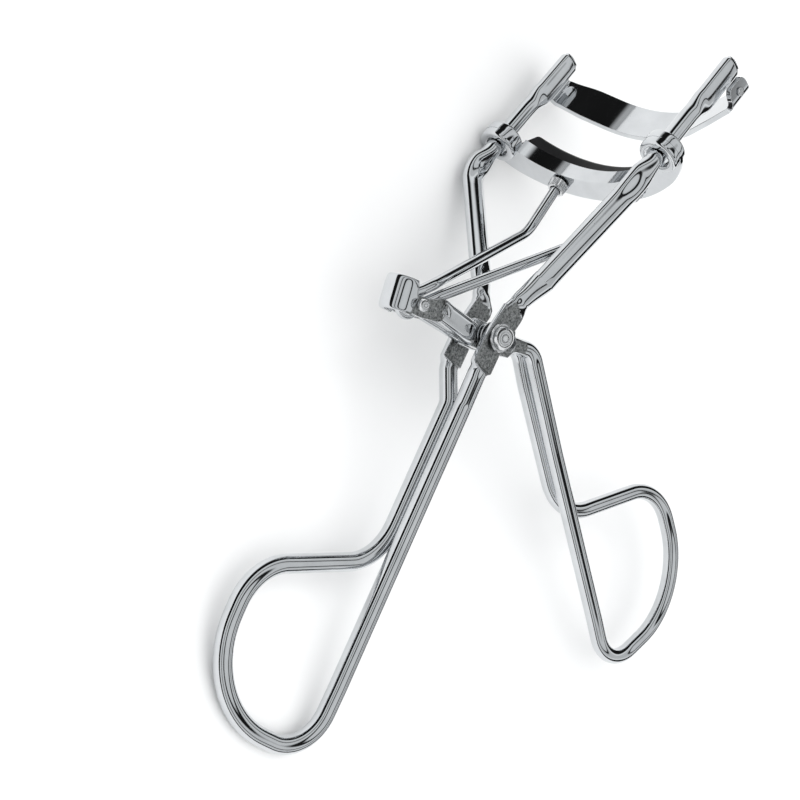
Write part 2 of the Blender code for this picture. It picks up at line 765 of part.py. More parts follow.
def build_upper_plate():
    right = plate_line()
    line = [(-across, forward, low, high) for across, forward, low, high in reversed(right[1:])] + right
    builder = bmesh.new()
    rings = []
    for index, (across, forward, low, high) in enumerate(line):
        ahead = line[min(index + 1, len(line) - 1)]
        behind = line[max(index - 1, 0)]
        tangent = Vector((ahead[0] - behind[0], ahead[1] - behind[1])).normalized()
        normal = Vector((-tangent.y, tangent.x)) * PLATE_THICKNESS / 2.0
        rings.append([
            builder.verts.new(at(across - normal.x, forward - normal.y, low)),
            builder.verts.new(at(across + normal.x, forward + normal.y, low)),
            builder.verts.new(at(across + normal.x, forward + normal.y, high)),
            builder.verts.new(at(across - normal.x, forward - normal.y, high)),
        ])
    for ring, following in zip(rings, rings[1:]):
        for index in range(4):
            after = (index + 1) % 4
            builder.faces.new((ring[index], ring[after], following[after], following[index]))
    builder.faces.new(reversed(rings[0]))
    builder.faces.new(rings[-1])
    plate = make_object("upper_plate", builder, chrome())
    for side, sign in (("left", -1.0), ("right", 1.0)):
        hole = cylinder_across(STAKE_HOLE_R, sign * 15.4, sign * 18.5, STAKE_FORWARD, STAKE_UP, 12)
        add_boolean(plate, make_cutter(f"cut_stake_{side}", hole), "DIFFERENCE")
    return plate


def build_plate_stakes():
    """A short headed stake through each curl, ending against the rail's land."""
    stakes = []
    outside = CURL_ACROSS + CURL_R + PLATE_THICKNESS / 2.0 + 0.15
    tip = RAIL_ACROSS + PADDLE_HALF + 0.3
    for side, sign in (("left", -1.0), ("right", 1.0)):
        profile = [(tip, STAKE_R * 0.8), (tip + 0.15, STAKE_R), (outside, STAKE_R), (outside, STAKE_HEAD_R)]
        profile += [(outside + 0.1, STAKE_HEAD_R * 0.85), (outside + 0.18, STAKE_HEAD_R * 0.45)]
        profile = [(sign * across, radius) for across, radius in profile]
        builder = lathe_across(profile, STAKE_FORWARD, STAKE_UP, 12)
        stakes.append(make_object(f"plate_stake_{side}", builder, chrome()))
    return stakes


# --- Laying the curler down --------------------------------------------------------------


def solid_points(pieces):
    """Every corner of the finished solids, their cuts made."""
    depsgraph = bpy.context.evaluated_depsgraph_get()
    points = []
    for piece in pieces:
        mesh = piece.evaluated_get(depsgraph).to_mesh()
        points += [vertex.co.copy() for vertex in mesh.vertices]
    return points


def resting_face(fixed, lever):
    """Outward normal of the hull face that the curler lies on, under its middle.

    The lever's places on the way to closed count too, so that it stays above the table.
    """
    points = fixed + lever
    centre = sum(points, Vector()) / len(points)
    for step in range(1, CLOSING_STEPS + 1):
        turn = Matrix.Rotation(math.radians(-CLOSING_DEG * step / CLOSING_STEPS), 3, "Z")
        points = points + [turn @ point for point in lever]
    builder = bmesh.new()
    for point in points:
        builder.verts.new(point)
    hull = bmesh.ops.convex_hull(builder, input=builder.verts)
    normal = None
    for face in (item for item in hull["geom"] if isinstance(item, bmesh.types.BMFace)):
        face.normal_update()
        corners = [corner.co for corner in face.verts]
        if face.normal.z > -0.5:
            continue
        turns = []
        for first, second in zip(corners, corners[1:] + corners[:1]):
            edge = (second - first).xy
            turns.append(edge.cross((centre - first).xy))
        if all(turn <= 0.0 for turn in turns) or all(turn >= 0.0 for turn in turns):
            normal = face.normal.copy()
    builder.free()
    return normal


def lay_down(fixed, lever, holder):
    """Turn the resting face down and put the middle of the footprint on the origin."""
    fixed_points, lever_points = solid_points(fixed), solid_points(lever)
    normal = resting_face(fixed_points, lever_points)
    down = Vector((0.0, 0.0, -1.0))
    turn = normal.rotation_difference(down).to_matrix()
    spots = [turn @ point for point in fixed_points + lever_points]
    low = Vector([min(spot[axis] for spot in spots) for axis in range(3)])
    high = Vector([max(spot[axis] for spot in spots) for axis in range(3)])
    shift = Vector((-(low.x + high.x) / 2.0, -(low.y + high.y) / 2.0, -low.z))
    holder.matrix_world = Matrix.Translation(shift) @ turn.to_4x4()


def joint_empty(name, location, parent):
    """An empty on a joint's axis, for the pieces that move about it."""
    empty = bpy.data.objects.new(name, None)
    bpy.context.collection.objects.link(empty)
    empty.parent = parent
    empty.location = location
    return empty


def hang_on(pieces, empty, location):
    """Parent pieces to an empty that stands at location, leaving them where they are."""
    for piece in pieces:
        piece.parent = empty
        piece.location = -location


def main():
    for old in list(bpy.data.objects):
        bpy.data.objects.remove(old, do_unlink=True)
    frame_pieces = [build_frame_wire(), build_upper_plate(), build_pivot_rivet()]
    frame_pieces += build_pivot_washers() + build_plate_stakes()
    lever_pieces = [build_lever_wire(), build_link_pin()]
    jaw_pieces = [build_push_rod(), build_lower_jaw(), build_pad()] + build_rod_collars()

    lying = bpy.data.objects.new("lying_frame", None)
    bpy.context.collection.objects.link(lying)
    lay_down(frame_pieces + jaw_pieces, lever_pieces, lying)
    pivot = Vector((0.0, 0.0, 0.0))
    link = at(0.0, LINK_FORWARD, LINK_UP)
    lever_axis = joint_empty("handle_pivot_axis", pivot, lying)
    jaw_axis = joint_empty("link_pivot_axis", link - pivot, lever_axis)
    hang_on(frame_pieces, lying, pivot)
    hang_on(lever_pieces, lever_axis, pivot)
    hang_on(jaw_pieces, jaw_axis, link)
    cutters = [item for item in bpy.data.objects if item.type == "MESH" and item.hide_render]
    hang_on(cutters, lying, pivot)


main()
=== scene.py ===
"""Looks of the eyelash curler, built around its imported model.

A design point is written (across, forward, up) in millimetres, as the curler would stand:
  across   along the pivot rivet, 0 in the plane of symmetry, + to the right
  forward  the way the two jaws bulge, away from the face
  up       along the guide rails, towards the jaws
The handle joint's axis and position say how the whole curler lies.
"""

import json
import math

import bmesh
import bpy
from mathutils import Matrix, Vector


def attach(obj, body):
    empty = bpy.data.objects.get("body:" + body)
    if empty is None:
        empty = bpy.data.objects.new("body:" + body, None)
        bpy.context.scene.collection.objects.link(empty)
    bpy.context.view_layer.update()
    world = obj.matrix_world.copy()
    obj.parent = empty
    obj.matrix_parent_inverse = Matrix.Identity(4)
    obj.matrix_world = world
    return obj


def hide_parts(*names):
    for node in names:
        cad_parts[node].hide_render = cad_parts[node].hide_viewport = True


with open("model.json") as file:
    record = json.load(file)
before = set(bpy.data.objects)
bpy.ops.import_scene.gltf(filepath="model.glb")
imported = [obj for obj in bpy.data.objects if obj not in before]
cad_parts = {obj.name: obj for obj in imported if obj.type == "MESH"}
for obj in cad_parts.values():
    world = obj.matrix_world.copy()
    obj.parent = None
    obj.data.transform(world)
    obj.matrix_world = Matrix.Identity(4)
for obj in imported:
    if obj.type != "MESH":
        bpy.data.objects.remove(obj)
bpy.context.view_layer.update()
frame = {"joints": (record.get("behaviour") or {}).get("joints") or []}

MM = 0.001
ACROSS_AXIS = Vector((0.0, 0.0, 1.0))

# Wires
FRAME_WIRE_R = 1.25
LEVER_WIRE_R = 1.17
ROD_R = 0.75
WIRE_SIDES = 40

# How finely a wire's bends, straight runs and changes of section are followed
BEND_STEP_DEG = 4.0
RUN_STEP = 1.2
CHANGE_STEP = 0.08
BEND_SHARE = 0.64

# Guide rails and arms of the frame
RAIL_ACROSS = 14.4
RAIL_FORWARD = -7.5
RAIL_TOP = 48.0
RAIL_FOOT = 22.4
PADDLE_START = 36.8
PADDLE_FULL = 40.8
PADDLE_END = 47.3
PADDLE_HALF = 0.95
PADDLE_HALF_DEPTH = 1.65
PADDLE_FORWARD = -7.1
PADDLE_BEND_R = 12.0

# Pivot stack, measured across from the plane of symmetry
LEVER_EAR_ACROSS = 0.95
LEVER_EAR_HALF = 0.62
LEVER_EAR_HALF_WIDTH = 1.9
SHIM_INNER = 1.75
SHIM_OUTER = 1.95
FRAME_EAR_ACROSS = 2.8
FRAME_EAR_HALF = 0.55
FRAME_EAR_HALF_WIDTH = 1.95
WASHER_INNER = 3.65
WASHER_OUTER = 4.0
RIVET_R = 1.1
RIVET_HOLE_R = 1.35
RIVET_HEAD_R = 1.62
RIVET_HEAD_INNER = 4.05
RIVET_HEAD_HEIGHT = 1.4
WASHER_R = 1.95
DOME_END_DEG = 88.0

# Where a wire's broad faces carry the marks of the coining die
FRAME_COINED_LOW = -5.0
FRAME_COINED_HIGH = 4.8
FRAME_COINED_ACROSS = 5.0
LEVER_COINED_REACH = 7.0
CHEEK_COINED_REACH = 4.6
FLAT_FACING = 0.75

# Handles: a point on each handle's axis and its direction, as (forward, up)
FRAME_HANDLE_FROM = Vector((1.25, 0.0))
FRAME_HANDLE_DEG = -71.4
LEVER_HANDLE_FROM = Vector((0.0, 7.37))
LEVER_HANDLE_DEG = -17.9
FRAME_STEM_ACROSS = 1.3
LEVER_STEM_ACROSS = 1.21

# Finger loops: where the neck, shoulder and end are along the handle, and the loop's width
FRAME_LOOP = (32.3, 40.8, 59.0, 19.4)
LEVER_LOOP = (35.2, 41.2, 61.0, 21.2)
LOOP_NECK_R = 8.0
LOOP_OUTER_R = 12.0
LOOP_INNER_R = 6.8
LOOP_STRAIGHT = 9.5

# Link pin, in the end of the lever, that drives the push rod
LINK_FORWARD = -12.5
LINK_UP = -7.15
LINK_PIN_R = 0.5
CHEEK_ACROSS = 1.75
CHEEK_HALF = 0.45
CHEEK_HALF_WIDTH = 1.3
CHEEK_OFFSET = -0.15
CHEEK_OVERHANG = 1.9
STRAP_HALF_WIDTH = 2.25
STRAP_OFFSET = 0.6
ARM_HALF = 0.92
ARM_HALF_HEIGHT = 1.5

# Push rod: two legs from an eye on the link pin up to the lower jaw
EYE_R = 1.4
LEG_OFFSET = 0.84
ROD_BEND = (5.6, -0.16, 19.25)
ROD_TOP = (6.9, -0.3, 30.1)
COLLAR_LOW = 27.9
COLLAR_HIGH = 29.3
COLLAR_FLUTES = 14.0
COLLAR_FLUTE_DEPTH = 0.2

# Lower jaw: a floor with an inner wall, and a ring round each rail
JAW_FLOOR = 29.5
JAW_THICKNESS = 0.6
JAW_INNER_CROWN = -0.8
JAW_INNER_R = 17.5
JAW_OUTER_CROWN = 2.5
JAW_OUTER_R = 24.0
JAW_WALL_TOP = 32.0
JAW_WALL_THICKNESS = 0.7
JAW_WALL_END = 12.4
JAW_OUTER_END = 14.0
JAW_CORNER_PULL = (16.3, -3.9)
RING_BORE_R = 1.68
RING_R = 2.85
RING_LOW = 28.3
RING_HIGH = 30.25
RING_OFFSET = 0.26
RING_LIP_HIGH = 31.1
RING_LIP_FROM_DEG = -218.0
RING_LIP_TO_DEG = 40.0
RING_ROUNDING = 0.5
RING_INSET = 0.1
RING_LIP_INSET = 0.05

# Rubber pad in the lower jaw
PAD_INNER_CROWN = 0.2
PAD_OUTER_CROWN = 2.75
PAD_LOW = 30.55
PAD_HIGH = 34.6
PAD_END = 13.2
PAD_TOP_END = 11.9
PAD_OUTER_R_EXTRA = 2.6

# Upper plate: a curved band whose ends turn back beside the rails
PLATE_LOW = 42.2
PLATE_HIGH = 47.8
PLATE_CROWN = 2.1
PLATE_R = 17.9
PLATE_THICKNESS = 0.8
PLATE_ARC_END = 8.0
CURL_ACROSS = 14.75
CURL_FORWARD = -4.75
CURL_R = 1.45
CURL_FROM_DEG = 64.0
CURL_BACK = -6.4
CURL_LOW = 42.9
CURL_HIGH = 47.0
CURL_END_CUT = 1.0

# Stake through each curl
STAKE_R = 0.45
STAKE_HEAD_R = 0.62
STAKE_UP = 45.0
STAKE_FORWARD = -4.95

# Camera, in design millimetres from the pivot, and its lens on a 36 mm sensor
CAMERA_AT = (170.4, -141.3, -117.0)
CAMERA_RIGHT = (0.694, 0.438, 0.572)
CAMERA_UP = (-0.143, -0.695, 0.705)
CAMERA_LENS = 85.24
SENSOR_WIDTH = 36.0

# Soft light from above, which the chrome doesn't mirror, in metres and watts
LIGHT_AT = (0.1, -0.1, 1.1)
LIGHT_SIDE = 3.0
LIGHT_POWER = 30.0

SMOOTH_ANGLE_DEG = 38.0

# Studio bands: their axis as (across, forward, up), and stops of (position, brightness)
BAND_AXIS = (1.0, 0.0, 0.0)
BANDS = (
    (0.0, 0.50), (0.44, 0.50),
    (0.47, 0.012), (0.655, 0.008),
    (0.69, 0.97), (0.715, 0.97),
    (0.725, 0.66), (0.79, 0.62),
    (0.80, 0.012), (0.818, 0.012),
    (0.828, 0.72), (0.90, 0.76),
    (0.918, 0.012), (0.945, 0.012),
    (0.957, 0.72), (1.0, 0.80),
)


def joint_named(name):
    for joint in frame["joints"]:
        if joint["name"] == name:
            return joint
    raise ValueError(name)


def lying_matrix():
    """From the upright design to the curler as it lies, pivot on pivot."""
    joint = joint_named("handle_pivot")
    pin = -Vector(joint["axis"]).normalized()
    turn = ACROSS_AXIS.rotation_difference(pin)
    return Matrix.Translation(Vector(joint["pos_m"])) @ turn.to_matrix().to_4x4()


LYING = lying_matrix()


def at(across, forward, up):
    """A design point as a vector in metres, before the curler is laid down."""
    return Vector((forward, up, across)) * MM


def smooth_step(low, high, value):
    ratio = min(max((value - low) / (high - low), 0.0), 1.0)
    return ratio * ratio * (3.0 - 2.0 * ratio)


def mix(first, second, ratio):
    return first + (second - first) * ratio


# --- Node materials ------------------------------------------------------------------


def fill_ramp(node, stops):
    """Give a colour ramp its stops, each a position and a colour."""
    elements = node.color_ramp.elements
    while len(elements) < len(stops):
        elements.new(0.5)
    for element, (position, colour) in zip(elements, stops):
        element.position = position
        element.color = colour


class NodeSheet:
    """A material's node tree, with short calls for the nodes that these looks use."""

    def __init__(self, name):
        self.material = bpy.data.materials.new(name)
        self.material.use_nodes = True
        self.tree = self.material.node_tree
        self.shader = self.tree.nodes["Principled BSDF"]
        self.place = self.add("ShaderNodeTexCoord").outputs["Object"]

    def add(self, kind, **inputs):
        node = self.tree.nodes.new(kind)
        for key, value in inputs.items():
            socket = node.inputs[key.replace("_", " ")]
            if isinstance(value, bpy.types.NodeSocket):
                self.tree.links.new(value, socket)
            else:
                socket.default_value = value
        return node

    def noise(self, scale, detail=4.0, roughness=0.5, vector=None):
        node = self.add("ShaderNodeTexNoise", Scale=scale, Detail=detail, Roughness=roughness)
        self.tree.links.new(vector or self.place, node.inputs["Vector"])
        return node.outputs["Fac"]

    def stretched(self, scale):
        """Coordinates pulled out along one way, for drawn or brushed lines."""
        node = self.add("ShaderNodeMapping")
        node.inputs["Scale"].default_value = scale
        self.tree.links.new(self.place, node.inputs["Vector"])
        return node.outputs["Vector"]

    def ramp(self, value, stops):
        """A colour ramp; stops are (position, red, green, blue)."""
        node = self.tree.nodes.new("ShaderNodeValToRGB")
        self.tree.links.new(value, node.inputs["Fac"])
        fill_ramp(node, [(position, (red, green, blue, 1.0)) for position, red, green, blue in stops])
        return node.outputs["Color"]

    def spread(self, value, low, high, start=0.3, end=0.7):
        """Map start to end onto low to high."""
        node = self.add("ShaderNodeMapRange")
        self.tree.links.new(value, node.inputs["Value"])
        for key, number in (("From Min", start), ("From Max", end), ("To Min", low), ("To Max", high)):
            node.inputs[key].default_value = number
        return node.outputs["Result"]

    def maths(self, operation, first, second):
        node = self.tree.nodes.new("ShaderNodeMath")
        node.operation = operation
        for socket, value in zip(node.inputs, (first, second)):
            if isinstance(value, bpy.types.NodeSocket):
                self.tree.links.new(value, socket)
            else:
                socket.default_value = value
        return node.outputs[0]

    def bump(self, height, distance, strength=1.0, below=None):
        node = self.add("ShaderNodeBump", Strength=strength, Distance=distance)
        self.tree.links.new(height, node.inputs["Height"])
        if below is not None:
            self.tree.links.new(below, node.inputs["Normal"])
        return node.outputs["Normal"]

    def feed(self, **sockets):
        for key, value in sockets.items():
            socket = self.shader.inputs[key.replace("_", " ")]
            if isinstance(value, bpy.types.NodeSocket):
                self.tree.links.new(value, socket)
            else:
                socket.default_value = value


def chrome_material():
    """Mirror-bright plating: faint clouding, polishing lines and a few fine pits."""
    sheet = NodeSheet("mirror_chrome")
    cloud = sheet.noise(260.0, 5.0, 0.6)
    lines = sheet.noise(900.0, 3.0, 0.6, sheet.stretched((1.0, 0.12, 1.0)))
    colour = sheet.ramp(cloud, [(0.3, 0.60, 0.615, 0.63), (0.7, 0.68, 0.695, 0.71)])
    rough = sheet.maths("ADD", sheet.spread(cloud, 0.035, 0.075), sheet.spread(lines, 0.0, 0.04, 0.5, 0.8))
    pits = sheet.spread(sheet.noise(2600.0, 2.0), 1.0, 0.0, 0.72, 0.80)
    normal = sheet.bump(pits, 0.00001, 0.25)
    normal = sheet.bump(lines, 0.00001, 0.10, normal)
    sheet.feed(Base_Color=colour, Metallic=1.0, Roughness=rough, Normal=normal)
    return sheet.material


def coined_material():
    """Plated metal that a rough die has flattened: matt and grey, with a fine sandy grain."""
    sheet = NodeSheet("coined_chrome")
    grain = sheet.noise(3400.0, 3.0, 0.7)
    patches = sheet.noise(520.0, 4.0, 0.6)
    colour = sheet.ramp(grain, [(0.34, 0.10, 0.103, 0.103), (0.5, 0.30, 0.31, 0.31),
                                (0.68, 0.58, 0.59, 0.59)])
    rough = sheet.spread(patches, 0.30, 0.52)
    normal = sheet.bump(grain, 0.00012, 0.55)
    normal = sheet.bump(patches, 0.0001, 0.3, normal)
    sheet.feed(Base_Color=colour, Metallic=1.0, Roughness=rough, Normal=normal)
    return sheet.material


def hardware_material():
    """Plated rivets and collars: bright, with the small dents of their setting tool."""
    sheet = NodeSheet("hardware_chrome")
    dents = sheet.noise(1500.0, 2.0, 0.5)
    cloud = sheet.noise(420.0, 5.0, 0.6)
    colour = sheet.ramp(cloud, [(0.3, 0.62, 0.63, 0.64), (0.7, 0.80, 0.81, 0.82)])
    rough = sheet.spread(cloud, 0.14, 0.26)
    normal = sheet.bump(dents, 0.00006, 0.25)
    sheet.feed(Base_Color=colour, Metallic=1.0, Roughness=rough, Normal=normal)
    return sheet.material


def rubber_material():
    """Matt black silicone: soft sheen, fine moulded grain and a little dust."""
    sheet = NodeSheet("pad_rubber")
    grain = sheet.noise(5200.0, 3.0, 0.6)
    dust = sheet.noise(700.0, 6.0, 0.7)
    colour = sheet.ramp(dust, [(0.35, 0.004, 0.004, 0.0045), (0.62, 0.009, 0.009, 0.010),
                               (0.80, 0.030, 0.030, 0.032)])
    rough = sheet.spread(dust, 0.42, 0.60)
    normal = sheet.bump(grain, 0.00002, 0.35)
    sheet.feed(Base_Color=colour, Roughness=rough, Normal=normal, Sheen_Weight=0.05,
               Specular_IOR_Level=0.35)
    return sheet.material


def floor_material():
    sheet = NodeSheet("pale_floor")
    cloud = sheet.noise(6.0, 3.0)
    colour = sheet.ramp(cloud, [(0.3, 0.93, 0.93, 0.93), (0.7, 0.95, 0.95, 0.95)])
    sheet.feed(Base_Color=colour, Roughness=0.85, Specular_IOR_Level=0.1)
    return sheet.material


CHROME = chrome_material()
COINED = coined_material()
HARDWARE = hardware_material()
RUBBER = rubber_material()


# --- Making pieces and attaching them to their bodies ---------------------------------


def laid_down(name, builder):
    """An object made from a builder's mesh, laid down as the curler lies."""
    mesh = bpy.data.meshes.new(name)
    bmesh.ops.recalc_face_normals(builder, faces=builder.faces)
    builder.to_mesh(mesh)
    builder.free()
    mesh.transform(LYING)
    thing = bpy.data.objects.new(name, mesh)
    bpy.context.collection.objects.link(thing)
    return thing


def shade(mesh, sharp_from_deg):
    """Smooth shading, except across edges sharper than an angle."""
    mesh.shade_smooth()
    mesh.set_sharp_from_angle(angle=math.radians(sharp_from_deg))


def make_piece(name, builder, materials, body, nodes):
    """A named piece that rides on a body and stands for its CAD nodes."""
    piece = laid_down(name, builder)
    shade(piece.data, SMOOTH_ANGLE_DEG)
    for material in materials:
        piece.data.materials.append(material)
    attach(piece, body)
    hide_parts(*nodes)
    return piece


# --- Paths -----------------------------------------------------------------------------


def filleted(knots):
    """Stations along straight runs between knots, each corner rounded to its own radius.

    A knot is (point, corner radius, section), and a station is (point, section).
    """
    stations = [(knots[0][0].copy(), knots[0][2])]
    for (before, _, _), (corner, radius, section), (after, _, _) in zip(knots, knots[1:], knots[2:]):
        arriving = (before - corner).normalized()
        leaving = (after - corner).normalized()
        angle = arriving.angle(leaving)
        turn = math.pi - angle
        if radius <= 0.0 or turn < 0.01:
            stations.append((corner.copy(), section))
            continue
        reach = radius / math.tan(angle / 2.0)
        reach = min(reach, BEND_SHARE * (before - corner).length, BEND_SHARE * (after - corner).length)
        actual = reach * math.tan(angle / 2.0)
        bisector = (arriving + leaving).normalized()
        centre = corner + bisector * (actual / math.sin(angle / 2.0))
        start = corner + arriving * reach - centre
        end = corner + leaving * reach - centre
        steps = max(2, math.ceil(math.degrees(turn) / BEND_STEP_DEG))
        for index in range(steps + 1):
            ratio = index / steps
            swing = math.sin((1.0 - ratio) * turn) * start + math.sin(ratio * turn) * end
            stations.append((centre + swing / math.sin(turn), section))
    stations.append((knots[-1][0].copy(), knots[-1][2]))
    return stations


def refined(stations, longest, longest_change):
    """Split long runs, and more finely where the section changes, with a smooth change."""
    result = [stations[0]]
    for (first, old), (second, new) in zip(stations, stations[1:]):
        limit = longest if old == new else longest_change
        pieces = max(1, math.ceil((second - first).length / (limit * MM) - 1e-6))
        for index in range(1, pieces + 1):
            ratio = index / pieces
            eased = smooth_step(0.0, 1.0, ratio)
            section = tuple(mix(low, high, eased) for low, high in zip(old, new))
            result.append((first.lerp(second, ratio), section))
    return result


def round_section(radius):
    """Half sizes across and square to that, in mm, and how square the section is."""
    return (radius, radius, 0.0)


def mirrored(knots):
    """The same knots on the other side of the plane of symmetry."""
    return [(Vector((point.x, point.y, -point.z)), radius, section) for point, radius, section in knots]


def handle_frame(start, angle_deg, outward_sign):
    """A function placing (along, outward, across) millimetres in a handle's plane."""
    angle = math.radians(angle_deg)
    direction = Vector((math.cos(angle), math.sin(angle)))
    outward = Vector((-direction.y, direction.x)) * outward_sign

    def place(along, out, across):
        flat = start + direction * along + outward * out
        return at(across, flat.x, flat.y)

    return place


def loop_knots(place, stem_across, loop, foot_along, wire_r):
    """The finger loop, from the left wire's neck round to the right wire's foot."""
    neck, shoulder, end, width = loop
    left = -stem_across
    corners = [
        (place(foot_along, 0.0, left), 0.0),
        (place(neck, 0.0, left), LOOP_NECK_R * MM),
        (place(shoulder, width, left * 0.8), LOOP_NECK_R * MM),
        (place(end, width, left * 0.3), LOOP_OUTER_R * MM),
        (place(end, 0.0, stem_across * 0.8), LOOP_INNER_R * MM),
        (place(end - LOOP_STRAIGHT, 0.0, stem_across), 0.0),
        (place(foot_along, 0.0, stem_across), 0.0),
    ]
    return [(point, radius, round_section(wire_r)) for point, radius in corners]


# --- Swept wires -----------------------------------------------------------------------


def wire_frames(stations, tall_hint):
    """Section axes along a wire: one as near as possible to the pivot axis, one square to it.

    Where the wire is flattened, its broad way keeps to the hint, however the wire swerves.
    """
    frames = []
    for index, (point, section) in enumerate(stations):
        ahead = stations[min(index + 1, len(stations) - 1)][0]
        behind = stations[max(index - 1, 0)][0]
        tangent = (ahead - behind).normalized()
        side = ACROSS_AXIS - tangent * ACROSS_AXIS.dot(tangent)
        if tall_hint is not None and section[2] > 0.6:
            tall = tall_hint.copy()
            side = tall.cross(tangent).normalized()
        elif side.length > 0.6 or tall_hint is None:
            side.normalize()
            tall = tangent.cross(side)
        else:
            tall = (tall_hint - tangent * tall_hint.dot(tangent)).normalized()
            side = tall.cross(tangent)
        if frames and side.dot(frames[-1][1]) + tall.dot(frames[-1][2]) < 0.0:
            side, tall = -side, -tall
        frames.append((point, side, tall))
    return frames


def bridge(builder, rings, count):
    """Faces between neighbouring rings of count points."""
    for ring, following in zip(rings, rings[1:]):
        for index in range(count):
            after = (index + 1) % count
            builder.faces.new((ring[index], ring[after], following[after], following[index]))


def sweep(stations, sides=WIRE_SIDES, tall_hint=None, endless=False):
    """A tube through stations, each a point and its section.

    An endless wire has its first point again as its last one, and no ends.
    """
    builder = bmesh.new()
    rings = []
    frames = wire_frames(stations, tall_hint)
    for (point, side, tall), (_, section) in zip(frames, stations):
        half_side, half_tall, squareness = section
        power = mix(1.0, 0.3, squareness)
        ring = []
        for index in range(sides):
            angle = math.tau * (index + 0.5) / sides
            cosine, sine = math.cos(angle), math.sin(angle)
            along_side = math.copysign(abs(cosine) ** power, cosine) * half_side * MM
            along_tall = math.copysign(abs(sine) ** power, sine) * half_tall * MM
            ring.append(builder.verts.new(point + side * along_side + tall * along_tall))
        rings.append(ring)
    if endless:
        # The section comes round half a turn on, so the last ring is the first one, shifted.
        for vertex in rings.pop():
            builder.verts.remove(vertex)
        rings.append(rings[0][sides // 2:] + rings[0][:sides // 2])
    bridge(builder, rings, sides)
    if not endless:
        builder.faces.new(reversed(rings[0]))
        builder.faces.new(rings[-1])
    return builder


def turned(builder, profile, forward, up, sides):
    """Circles of vertices for (across, radius) steps about a line along the pivot axis."""
    circles = []
    for across, radius in profile:
        circle = []
        for index in range(sides):
            angle = math.tau * index / sides
            spot = at(across, forward + radius * math.cos(angle), up + radius * math.sin(angle))
            circle.append(builder.verts.new(spot))
        circles.append(circle)
    return circles


def lathe_across(profile, forward, up, sides=64):
    """A solid turned from (across, radius) steps, with flat ends."""
    builder = bmesh.new()
    circles = turned(builder, profile, forward, up, sides)
    bridge(builder, circles, sides)
    builder.faces.new(reversed(circles[0]))
    builder.faces.new(circles[-1])
    return builder


def ring_across(inner, outer, start, end, sides=64):
    """A flat washer on the pivot axis, its outer edges rounded."""
    edge = min(0.1, abs(end - start) * 0.3)
    step = math.copysign(edge, end - start)
    profile = [(start, inner), (start, outer - edge), (start + step, outer), (end - step, outer),
               (end, outer - edge), (end, inner)]
    builder = bmesh.new()
    circles = turned(builder, profile, 0.0, 0.0, sides)
    bridge(builder, circles + circles[:1], sides)
    return builder


def dome(radius, start, height, direction, steps=14):
    """(across, radius) steps of a rivet head that stands on start and points in direction."""
    profile = []
    for index in range(steps + 1):
        angle = math.radians(DOME_END_DEG) * index / steps
        profile.append((start + direction * height * math.sin(angle), radius * math.cos(angle)))
    return profile


# --- Frame -----------------------------------------------------------------------------


def build_frame_wire():
    place = handle_frame(FRAME_HANDLE_FROM, FRAME_HANDLE_DEG, -1.0)
    wire = round_section(FRAME_WIRE_R)
    tip = (0.8, 1.35, 0.2)
    arm = (1.05, 1.9, 0.15)
    paddle = (PADDLE_HALF, PADDLE_HALF_DEPTH, 0.35)
    neck = (0.9, 1.5, 0.2)
    ear = (FRAME_EAR_HALF, FRAME_EAR_HALF_WIDTH, 0.8)
    right_half = [
        (at(RAIL_ACROSS, PADDLE_FORWARD, RAIL_TOP), 0.0, tip),
        (at(RAIL_ACROSS, PADDLE_FORWARD, PADDLE_END), 0.0, paddle),
        (at(RAIL_ACROSS, PADDLE_FORWARD, PADDLE_FULL), PADDLE_BEND_R * MM, paddle),
        (at(RAIL_ACROSS, RAIL_FORWARD, PADDLE_START), PADDLE_BEND_R * MM, wire),
        (at(RAIL_ACROSS, RAIL_FORWARD, RAIL_FOOT + 5.0), 0.0, wire),
        (at(RAIL_ACROSS, RAIL_FORWARD, RAIL_FOOT), 5.0 * MM, arm),
        (at(5.9, -2.0, 9.3), 0.0, arm),
        (at(3.6, -1.1, 5.9), 2.0 * MM, neck),
        (at(FRAME_EAR_ACROSS, -0.3, 4.3), 0.0, ear),
        (at(FRAME_EAR_ACROSS, 0.2, -1.0), 6.0 * MM, ear),
        (at(FRAME_EAR_ACROSS, 1.25, -4.3), 0.0, ear),
        (at(FRAME_EAR_ACROSS - 0.2, 1.55, -5.3), 2.0 * MM, wire),
        (place(9.4, 0.0, FRAME_STEM_ACROSS), 3.0 * MM, wire),
    ]
    loop = loop_knots(place, FRAME_STEM_ACROSS, FRAME_LOOP, 12.0, FRAME_WIRE_R)
    knots = right_half + list(reversed(loop)) + list(reversed(mirrored(right_half)))
    builder = sweep(refined(filleted(knots), RUN_STEP, CHANGE_STEP))
    for face in builder.faces:
        face.normal_update()
        middle = face.calc_center_median() / MM
        on_ear = FRAME_COINED_LOW < middle.y < FRAME_COINED_HIGH and abs(middle.x) < FRAME_COINED_ACROSS
        face.material_index = 1 if on_ear and abs(face.normal.z) > FLAT_FACING else 0
    make_piece("frame_wire_fine", builder, [CHROME, COINED], "frame", ["frame_wire"])


# --- Lever -----------------------------------------------------------------------------


def arm_frame():
    """A function placing (along, aside, across) on the lever's arm, and the way that aside goes."""
    link = Vector((LINK_FORWARD, LINK_UP))
    along = -link.normalized()
    offset = Vector((-along.y, along.x))

    def place(distance, aside, across):
        flat = link + along * distance + offset * aside
        return at(across, flat.x, flat.y)

    return place, offset


